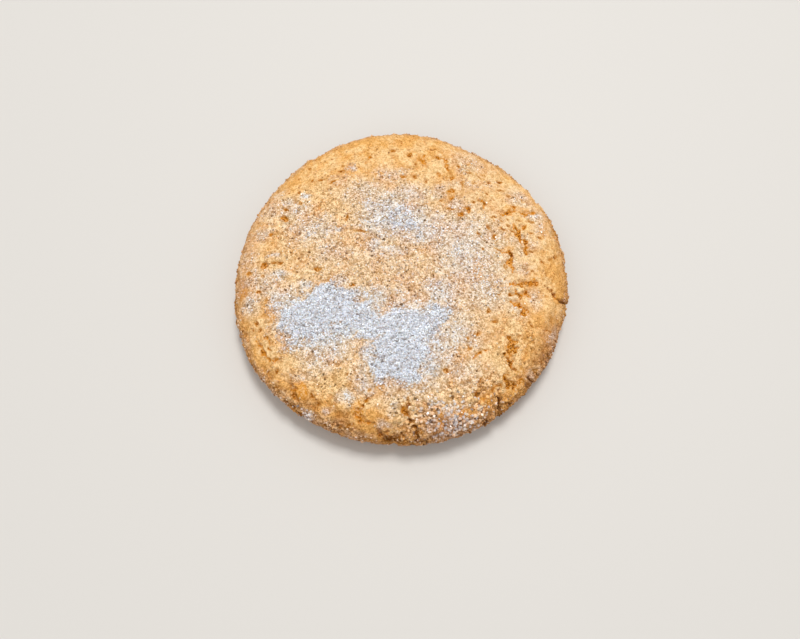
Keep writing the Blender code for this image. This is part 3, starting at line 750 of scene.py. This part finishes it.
def group_tree(name, kind, inputs, outputs):
    """Start a node group with named sockets, and return it with its input and output nodes."""
    tree = bpy.data.node_groups.new(name, kind)
    for direction, sockets in (("INPUT", inputs), ("OUTPUT", outputs)):
        for label, socket_type, *default in sockets:
            socket = tree.interface.new_socket(label, in_out=direction, socket_type=socket_type)
            if default:
                socket.default_value = default[0]
    return tree, tree.nodes.new("NodeGroupInput"), tree.nodes.new("NodeGroupOutput")


def calculate(operation, *values):
    """One arithmetic step on numbers and sockets, in the tree of the first socket."""
    tree = next(value.id_data for value in values if isinstance(value, bpy.types.NodeSocket))
    return node(tree, "ShaderNodeMath", dict(enumerate(values)), operation=operation).outputs[0]


def plus(first, second):
    """The sum of two numbers or sockets."""
    return calculate("ADD", first, second)


def minus(first, second):
    """The first number or socket less the second."""
    return calculate("SUBTRACT", first, second)


def times(first, second):
    """The product of two numbers or sockets."""
    return calculate("MULTIPLY", first, second)


def clamp(value):
    """Keep a socket's number between 0 and 1."""
    return node(value.id_data, "ShaderNodeClamp", {"Value": value}).outputs[0]


def remap(value, low, high, to_low=0.0, to_high=1.0):
    """Carry the numbers from low to high smoothly over to another span, clamped at both ends."""
    inputs = {"Value": value, 1: low, 2: high, 3: to_low, 4: to_high}
    return node(value.id_data, "ShaderNodeMapRange", inputs, interpolation_type="SMOOTHSTEP").outputs[0]


def mix_colour(share, first, second):
    """Mix two colours by a socket's share from 0 to 1."""
    inputs = {0: share, 6: first, 7: second}
    return node(share.id_data, "ShaderNodeMix", inputs, data_type="RGBA").outputs[2]


def read_attribute(tree, name):
    """A number that the mesh carries under this name."""
    return node(tree, "ShaderNodeAttribute", attribute_name=name).outputs["Fac"]


def sandy_grain_group():
    """Fine sandy grain: a random tone for each grain, a mask of painted shade in small pores and a height.
    """
    tree, given, result = group_tree(
        "Sandy Grain", "ShaderNodeTree",
        [("Vector", VECTOR), ("Grain Length", NUMBER, 0.5 * MM)],
        [("Tone", NUMBER), ("Pores", NUMBER), ("Height", NUMBER)],
    )
    scale = calculate("DIVIDE", 1.0, given.outputs["Grain Length"])
    place = {"Vector": given.outputs["Vector"], "Scale": scale}
    cloud = node(tree, "ShaderNodeTexNoise", {**place, "Detail": 3.0, "Roughness": 0.65}).outputs[0]
    grain = node(tree, "ShaderNodeTexVoronoi", place, feature="F1")
    chance = node(tree, "ShaderNodeSeparateColor", {0: grain.outputs["Color"]}).outputs[0]
    cloudy = remap(cloud, 0.35, 0.65, 0.0, 0.5)
    tone = plus(times(chance, 0.5), cloudy)

    # Half of the pores' cells, which are over twice as long as the grains, hold a pore
    pore_scale = times(scale, 0.42)
    pore = node(tree, "ShaderNodeTexVoronoi", {**place, "Scale": pore_scale}, feature="F1")
    luck = node(tree, "ShaderNodeSeparateColor", {0: pore.outputs["Color"]}).outputs[0]
    chosen = calculate("GREATER_THAN", luck, 0.50)
    pore_shade = times(remap(pore.outputs["Distance"], 0.26, 0.15), chosen)

    hollow = times(grain.outputs["Distance"], 0.6)
    feed(result, {"Tone": tone, "Pores": pore_shade, "Height": minus(cloud, hollow)})
    return tree


def sugared_dough_group():
    """Colour of a place on the biscuit: pale or gold dough, browned, then whitened by its sugar."""
    tree, given, result = group_tree(
        "Sugared Dough", "ShaderNodeTree",
        [
            ("Vector", VECTOR), ("Browning", NUMBER, 0.0), ("Frost", NUMBER, 0.0),
            ("Brightness", NUMBER, 1.0), ("Grit", NUMBER, 1.0), ("Shade", NUMBER, 0.0),
            ("Crest", NUMBER, 0.5), ("Pale", COLOUR, (0.9, 0.7, 0.4, 1.0)),
            ("Gold", COLOUR, (0.8, 0.5, 0.2, 1.0)), ("Brown", COLOUR, (0.4, 0.2, 0.1, 1.0)),
            ("White", COLOUR, (0.8, 0.8, 0.9, 1.0)),
        ],
        [("Color", COLOUR)],
    )
    take = given.outputs

    # Crests are paler and hollows darker, as painted light and shade on the crumb's relief, and baked
    # places are gold and then brown
    clouds = {"Vector": take["Vector"], "Scale": 1 / (5 * MM), "Detail": 1.5}
    cloud = node(tree, "ShaderNodeTexNoise", clouds).outputs[0]
    paleness = plus(remap(cloud, 0.32, 0.62), times(minus(take["Crest"], 0.5), 0.8))
    paleness = minus(paleness, times(take["Browning"], 0.6))
    dough = mix_colour(clamp(paleness), take["Gold"], take["Pale"])
    browned = times(remap(take["Browning"], 0.5, 1.7), 0.75)
    dough = mix_colour(browned, dough, take["Brown"])

    # Gritty places vary more from grain to grain, and a light grain holds more sugar
    contrast = remap(take["Grit"], 0.0, 1.0, 0.55, 1.0)
    swing = times(minus(take["Brightness"], 1.0), contrast)
    held = calculate("MULTIPLY_ADD", swing, 1.2, 1.0)
    frosted = clamp(times(take["Frost"], held))
    sugared = mix_colour(frosted, dough, take["White"])

    # Painted shade makes a place darker, and what is darker is also deeper in colour
    swing = minus(swing, times(take["Shade"], 0.5))
    depth = calculate("MULTIPLY_ADD", swing, -0.5, 1.0)
    deepened = node(tree, "ShaderNodeGamma", {"Color": sugared, "Gamma": depth}).outputs[0]
    brightness = plus(swing, 1.0)
    lit = node(tree, "ShaderNodeVectorMath", {0: deepened, "Scale": brightness}, operation="SCALE")
    feed(result, {"Color": lit.outputs[0]})
    return tree


def place_grain(tree, grain_length):
    """The object's coordinates, and the fine grain at them."""
    place = node(tree, "ShaderNodeTexCoord").outputs["Object"]
    group = bpy.data.node_groups.get("Sandy Grain") or sandy_grain_group()
    inputs = {"Vector": place, "Grain Length": grain_length}
    return place, node(tree, "ShaderNodeGroup", inputs, node_tree=group).outputs


def dough_colour(tree, place, frost, brightness, shade, crust, white):
    """Place the colour group with the biscuit's own colours."""
    inputs = {
        "Vector": place, "Browning": read_attribute(tree, "browning"), "Frost": frost,
        "Brightness": brightness, "Grit": read_attribute(tree, "grit"), "Shade": shade,
        "Crest": read_attribute(tree, "crest"), "Pale": crust.pale, "Gold": crust.gold,
        "Brown": crust.brown, "White": white,
    }
    group = bpy.data.node_groups.get("Sugared Dough") or sugared_dough_group()
    return node(tree, "ShaderNodeGroup", inputs, node_tree=group).outputs["Color"]


def new_material(name):
    """Start a material, and return it with its tree and its shader."""
    material = bpy.data.materials.new(name)
    material.use_nodes = True
    return material, material.node_tree, material.node_tree.nodes["Principled BSDF"]


def finish_surface(shader, colour, roughness, height, strength, distance):
    """Give a shader its colour, its roughness and a bump of this height."""
    bump = {"Height": height, "Strength": strength, "Distance": distance}
    relief = node(shader.id_data, "ShaderNodeBump", bump).outputs[0]
    feed(shader, {"Base Color": colour, "Roughness": roughness, "Normal": relief})


def soften(shader, seep, sheen=0.5):
    """Let light seep a little way into the surface, and set how much of it is mirrored."""
    feed(shader, {
        "Subsurface Weight": seep, "Subsurface Radius": (1.0, 0.7, 0.5), "Subsurface Scale": 0.6 * MM,
        "Specular IOR Level": sheen,
    })


def crust_material(crust, sugar):
    """Baked dough under fine sugar, with painted shade in small pores and ragged amber cracks."""
    material, tree, shader = new_material("baked crust")
    place, grain = place_grain(tree, 0.30 * MM)
    crack, moist, grit = (read_attribute(tree, name) for name in ("crack", "moist", "grit"))
    # Crests get a brighter tone and hollows a darker one: painted light and shade on the crumb's relief
    crest_light = times(read_attribute(tree, "crest"), 0.42)
    tone = plus(crest_light, grain["Tone"])
    brightness = remap(tone, 0.22, 1.18, 0.62, 1.38)
    # Pores carry painted shade, for dark pinholes and the shaded gaps between grains
    pore_shade = times(grain["Pores"], remap(grit, 0.0, 1.0, 0.50, 0.85))
    frost = read_attribute(tree, "frost")
    skin = dough_colour(tree, place, frost, brightness, pore_shade, crust, sugar.veil)

    # Where the skin has flaked away, the dark grains show most of the amber
    flaked = times(read_attribute(tree, "bare"), remap(tone, 0.95, 0.45, 0.45, 1.0))
    skin = mix_colour(flaked, skin, crust.amber)

    # A crack has brown to amber walls, a core from painted shade to amber, and a few grains with painted
    # highlights
    walls = mix_colour(times(moist, 0.85), crust.brown, crust.amber)
    mottled = times(moist, remap(tone, 0.45, 0.85))
    core = mix_colour(mottled, crust.painted_shade, crust.amber)
    inside = mix_colour(remap(crack, 0.66, 0.94), walls, core)
    # Painted highlights: a few light grains in the crack are painted pale
    inside = mix_colour(remap(tone, 0.78, 1.10, 0.0, 0.75), inside, crust.pale)
    ragged = calculate("MULTIPLY_ADD", grain["Tone"], 0.44, crack)
    colour = mix_colour(remap(ragged, 0.68, 0.80), skin, inside)

    roughness = remap(grain["Tone"], 0.0, 1.0, 0.95, 0.70)
    height = times(grain["Height"], remap(grit, 0.0, 1.0, 0.55, 1.0))
    finish_surface(shader, colour, roughness, height, 0.9, 0.25 * MM)
    soften(shader, DOUGH_SEEP, DOUGH_SHEEN)
    return material


def crumb_material(crust, sugar):
    """The same dough on loose grains and crumbs, each with a tone of its own, and a few darkened by painted
    shade.
    """
    material, tree, shader = new_material("loose crumb")
    place, grain = place_grain(tree, 0.40 * MM)
    tone = read_attribute(tree, "tone")
    own = remap(tone, 0.10, 1.0, 0.68, 1.34)
    brightness = times(own, remap(grain["Tone"], 0.1, 0.9, 0.88, 1.08))
    # The darkest few crumbs carry painted shade, for the shaded gaps between grains
    painted_shade = remap(tone, 0.07, 0.04, 0.0, 0.75)
    painted_shade = times(painted_shade, remap(read_attribute(tree, "grit"), 0.0, 1.0, 0.3, 1.0))
    frost = read_attribute(tree, "frost")
    colour = dough_colour(tree, place, frost, brightness, painted_shade, crust, sugar.veil)
    roughness = remap(grain["Tone"], 0.0, 1.0, 0.95, 0.75)
    finish_surface(shader, colour, roughness, grain["Height"], 0.5, 0.25 * MM)
    soften(shader, DOUGH_SEEP, DOUGH_SHEEN)
    return material


def sugar_material(crust, sugar):
    """Sugar crystals: they take some colour from below, a few are darkened by painted shade and a few look
    bright.
    """
    material, tree, shader = new_material("sugar crystals")
    place, grain = place_grain(tree, 0.25 * MM)
    tone = read_attribute(tree, "tone")
    brightness = remap(tone, 0.10, 1.0, 0.79, 1.36)
    # The darkest few crystals carry painted shade, for the shaded gaps between grains
    painted_shade = remap(tone, 0.075, 0.04, 0.0, 0.8)

    # A crystal is as white as the crust below it is frosted, and large ones are white by chance
    whiter = plus(read_attribute(tree, "frost"), 0.10)
    chance = remap(tone, 0.80, 0.30, 0.05, 0.80)
    lucky = times(read_attribute(tree, "coarse"), chance)
    whiter = clamp(calculate("MAXIMUM", whiter, lucky))
    colour = dough_colour(tree, place, whiter, brightness, painted_shade, crust, sugar.white)
    roughness = remap(tone, 0.0, 1.0, 0.5, 0.15)
    finish_surface(shader, colour, roughness, grain["Height"], 0.3, 0.05 * MM)
    soften(shader, SUGAR_SEEP)
    return material


def scatter_tree():
    """Geometry Nodes that strew turned grains over a surface where an attribute says so."""
    tree, given, result = group_tree(
        "Strew Grains", "GeometryNodeTree",
        [
            ("Geometry", "NodeSocketGeometry"), ("Cover", "NodeSocketString", "heap"),
            ("Grains per mm2", NUMBER, 1.0), ("Smallest", NUMBER, 0.3 * MM), ("Largest", NUMBER, 0.6 * MM),
            ("Coarsest", NUMBER, 1.0 * MM), ("Narrowest", NUMBER, 0.6), ("Sink", NUMBER, 0.0),
            ("Rise", NUMBER, 0.0), ("Seed", "NodeSocketInt", 1), ("Rounded", "NodeSocketBool", False),
            ("Material", "NodeSocketMaterial"),
        ],
        [("Geometry", "NodeSocketGeometry")],
    )
    take = given.outputs

    def add(kind, inputs, **properties):
        """Add a node and return its first output."""
        return node(tree, kind, inputs, **properties).outputs[0]

    def draw(low, high, step, data_type="FLOAT"):
        """A random number or vector for each grain, with a seed of its own."""
        first, result_socket = {"FLOAT_VECTOR": (0, 0), "FLOAT": (2, 1)}[data_type]
        seed = plus(take["Seed"], step)
        inputs = {first: low, first + 1: high, "Seed": seed}
        return node(tree, "FunctionNodeRandomValue", inputs, data_type=data_type).outputs[result_socket]

    # Points on the surface, sunk into it or raised over it
    cover = add("GeometryNodeInputNamedAttribute", {"Name": take["Cover"]}, data_type="FLOAT")
    density = times(cover, times(take["Grains per mm2"], 1 / MM**2))
    spread = node(
        tree, "GeometryNodeDistributePointsOnFaces",
        {"Mesh": take["Geometry"], "Density": density, "Seed": take["Seed"]},
    ).outputs
    height = draw(take["Sink"], take["Rise"], 1)
    lift = add("ShaderNodeVectorMath", {0: spread["Normal"], "Scale": height}, operation="SCALE")
    placed = add("GeometryNodeSetPosition", {"Geometry": spread["Points"], "Offset": lift})

    # Grains about one metre across, which their size then scales: a lump or a block
    lump = add("GeometryNodeMeshIcoSphere", {"Radius": 0.56, "Subdivisions": 1})
    block = add("GeometryNodeMeshCube", {"Size": (0.9, 0.9, 0.9)})
    choice = {"Switch": take["Rounded"], "False": block, "True": lump}
    grain = add("GeometryNodeSwitch", choice, input_type="GEOMETRY")

    # Where the sugar is coarse, some grains grow up to the coarsest size
    coarse = add("GeometryNodeInputNamedAttribute", {"Name": "coarse"}, data_type="FLOAT")
    common = draw(take["Smallest"], take["Largest"], 2)
    growth = times(coarse, draw(0.0, 1.0, 3))
    size = add("ShaderNodeMix", {0: growth, 2: common, 3: take["Coarsest"]})
    width, thickness = (times(size, draw(take["Narrowest"], 1.0, step)) for step in (4, 5))
    scale = add("ShaderNodeCombineXYZ", {"X": size, "Y": width, "Z": thickness})
    turn = add("FunctionNodeEulerToRotation", {0: draw((0.0,) * 3, (math.tau,) * 3, 6, "FLOAT_VECTOR")})

    each = {"Points": placed, "Instance": grain, "Rotation": turn, "Scale": scale}
    strewn = add("GeometryNodeInstanceOnPoints", each)
    tone = {"Geometry": strewn, "Name": "tone", "Value": draw(0.0, 1.0, 8)}
    toned = add("GeometryNodeStoreNamedAttribute", tone, data_type="FLOAT", domain="INSTANCE")
    real = add("GeometryNodeRealizeInstances", {"Geometry": toned})
    shaded = add("GeometryNodeSetShadeSmooth", {"Geometry": real, "Shade Smooth": take["Rounded"]})
    dressed = add("GeometryNodeSetMaterial", {"Geometry": shaded, "Material": take["Material"]})
    feed(result, {"Geometry": dressed})
    return tree


def strew(name, seed, settings):
    """Make one piece of grains on the finished crust."""
    tree = bpy.data.node_groups.get("Strew Grains") or scatter_tree()
    piece = add_object(name, bpy.data.objects["crust"].data.copy())
    modifier = piece.modifiers.new("Strew", "NODES")
    modifier.node_group = tree
    sockets = {item.name: item.identifier for item in tree.interface.items_tree if item.in_out == "INPUT"}
    for label, value in {**settings, "Seed": seed + SEED_STEPS[name]}.items():
        modifier[sockets[label]] = value
    apply_modifiers(piece)
    hand_over(piece)


class POLVORON_OT_crust(bpy.types.Operator):
    """Bake the crust: the form, its cracks and marks, and the attributes that guide the sugar"""

    bl_idname = "polvoron.crust"
    bl_label = "Bake Crust"

    def execute(self, context):
        crust = context.scene.polvoron_crust
        sphere = bmesh.new()
        bmesh.ops.create_icosphere(sphere, subdivisions=8, radius=1.0)
        mesh = bmesh_to_mesh(sphere, "crust")
        set_points(mesh, crust_form(read_rows(mesh.vertices, "co"), crust))
        plain, normals = read_rows(mesh.vertices, "co"), read_rows(mesh.vertex_normals, "vector")
        set_points(mesh, crust_relief(plain, normals, crust))
        piece = add_object("crust", mesh)
        thin_out = piece.modifiers.new("Thin out", "DECIMATE")
        thin_out.ratio = crust.triangles / len(mesh.polygons)
        apply_modifiers(piece)
        self.paint(piece.data, crust)
        piece.data.shade_smooth()
        piece.data.materials.append(crust_material(crust, context.scene.polvoron_sugar))
        hand_over(piece)
        return {"FINISHED"}

    @staticmethod
    def paint(mesh, crust):
        """Store what the materials and the scattered grains read."""
        points, normals = read_rows(mesh.vertices, "co"), read_rows(mesh.vertex_normals, "vector")
        cover = CrustCover(points, normals, crust)
        for name, values in {**cover.sugar(), **cover.dough(), **cover.crumb()}.items():
            store(mesh, name, values)


class POLVORON_OT_crumbs(bpy.types.Operator):
    """Stick small crumbs of dough all over the crust"""

    bl_idname = "polvoron.crumbs"
    bl_label = "Strew Crumbs"

    def execute(self, context):
        sugar = context.scene.polvoron_sugar
        material = crumb_material(context.scene.polvoron_crust, sugar)
        shared = {"Narrowest": NARROWEST, "Material": material}
        strew("crumbs", sugar.seed, {
            **shared, "Cover": "crumbly", "Grains per mm2": sugar.crumb_grains, "Rounded": True,
            "Smallest": 0.35 * MM, "Largest": 0.85 * MM, "Coarsest": 1.0 * MM,
            "Sink": -0.20 * MM, "Rise": 0.05 * MM,
        })
        strew("sand", sugar.seed, {
            **shared, "Cover": "sandy", "Grains per mm2": sugar.sand_grains, "Rounded": False,
            "Smallest": 0.22 * MM, "Largest": 0.46 * MM, "Coarsest": 0.5 * MM,
            "Sink": -0.10 * MM, "Rise": 0.04 * MM,
        })
        return {"FINISHED"}


class POLVORON_OT_sugar(bpy.types.Operator):
    """Pile up the heaps of sugar and sprinkle the rest of the top"""

    bl_idname = "polvoron.sugar"
    bl_label = "Strew Sugar"

    def execute(self, context):
        sugar = context.scene.polvoron_sugar
        shared = {
            "Smallest": sugar.smallest, "Largest": sugar.largest, "Coarsest": sugar.coarsest,
            "Narrowest": NARROWEST, "Rounded": False,
            "Material": sugar_material(context.scene.polvoron_crust, sugar),
        }
        strew("sugar_heaps", sugar.seed, {
            **shared, "Cover": "heap", "Grains per mm2": sugar.heap_grains,
            "Sink": -0.05 * MM, "Rise": 0.30 * MM,
        })
        strew("sugar_sprinkle", sugar.seed, {
            **shared, "Cover": "dust", "Grains per mm2": sugar.sprinkle_grains,
            "Sink": -0.10 * MM, "Rise": 0.10 * MM,
        })
        return {"FINISHED"}


class POLVORON_OT_stage(bpy.types.Operator):
    """Set the floor, the lights and the camera"""

    bl_idname = "polvoron.stage"
    bl_label = "Set Stage"

    def execute(self, context):
        stage = context.scene.polvoron_stage
        self.floor(stage)
        self.area_light("key", stage.key_power, azimuth=76.0, elevation=69.0, distance=1.20, size=0.38)
        self.area_light("fill", stage.fill_power, azimuth=235.0, elevation=40.0, distance=1.20, size=0.80)
        self.world(context.scene, stage)
        self.camera(context.scene, stage)
        return {"FINISHED"}

    @staticmethod
    def floor(stage):
        """A wide pale floor that the base stands on."""
        shape = bmesh.new()
        bmesh.ops.create_grid(shape, x_segments=1, y_segments=1, size=4.0)
        mesh = bmesh_to_mesh(shape, "floor")
        material, _, shader = new_material("pale floor")
        feed(shader, {"Base Color": stage.floor, "Roughness": 0.6})
        mesh.materials.append(material)
        add_object("floor", mesh)

    @staticmethod
    def area_light(name, power, azimuth, elevation, distance, size):
        """A square soft light that looks at the biscuit, azimuth in degrees from +X towards +Y."""
        data = bpy.data.lights.new(name, "AREA")
        data.energy, data.size, data.color = power, size, LAMP_COLOUR
        light = add_object(name, data)
        turn, rise = math.radians(azimuth), math.radians(elevation)
        towards = Vector((math.cos(turn) * math.cos(rise), math.sin(turn) * math.cos(rise), math.sin(rise)))
        light.location = towards * distance
        light.rotation_euler = towards.to_track_quat("Z", "Y").to_euler()

    @staticmethod
    def world(scene, stage):
        """An even pale surrounding."""
        scene.world = bpy.data.worlds.new("soft room")
        scene.world.use_nodes = True
        background = scene.world.node_tree.nodes["Background"]
        feed(background, {"Color": ROOM_COLOUR, "Strength": stage.ambient})
        scene.view_settings.view_transform = "Standard"

    @staticmethod
    def camera(scene, stage):
        """The photograph's view: from the front and steeply down."""
        data = bpy.data.cameras.new("camera")
        data.lens, data.sensor_width = stage.lens, SENSOR_WIDTH
        data.clip_start, data.clip_end = 5.0 * MM, 20.0
        camera = add_object("camera", data)
        back = Vector((0.0, -math.cos(stage.elevation), math.sin(stage.elevation)))
        camera.location = Vector(stage.aim) + back * stage.distance
        camera.rotation_euler = back.to_track_quat("Z", "Y").to_euler()
        scene.camera = camera


class POLVORON_PT_panel(bpy.types.Panel):
    """Lists the settings and the steps in order"""

    bl_label = "Polvoron"
    bl_idname = "POLVORON_PT_panel"
    bl_space_type = "VIEW_3D"
    bl_region_type = "UI"
    bl_category = "Polvoron"

    def draw(self, context):
        scene = context.scene
        for settings, operators in (
            (scene.polvoron_crust, (POLVORON_OT_crust, POLVORON_OT_crumbs)),
            (scene.polvoron_sugar, (POLVORON_OT_sugar,)),
            (scene.polvoron_stage, (POLVORON_OT_stage,)),
        ):
            box = self.layout.box()
            for name in settings.__annotations__:
                box.prop(settings, name)
            for operator in operators:
                box.operator(operator.bl_idname)


CLASSES = (
    PolvoronCrust, PolvoronSugar, PolvoronStage, POLVORON_OT_crust, POLVORON_OT_crumbs,
    POLVORON_OT_sugar, POLVORON_OT_stage, POLVORON_PT_panel,
)


def register():
    """Add the classes and the scene's settings."""
    for each in CLASSES:
        bpy.utils.register_class(each)
    bpy.types.Scene.polvoron_crust = PointerProperty(type=PolvoronCrust)
    bpy.types.Scene.polvoron_sugar = PointerProperty(type=PolvoronSugar)
    bpy.types.Scene.polvoron_stage = PointerProperty(type=PolvoronStage)


def unregister():
    """Remove them again."""
    for name in ("polvoron_crust", "polvoron_sugar", "polvoron_stage"):
        delattr(bpy.types.Scene, name)
    for each in reversed(CLASSES):
        bpy.utils.unregister_class(each)


def main():
    """Make every piece."""
    register()
    bpy.ops.polvoron.stage()
    bpy.ops.polvoron.crust()
    bpy.ops.polvoron.crumbs()
    bpy.ops.polvoron.sugar()


if __name__ == "__main__":
    main()
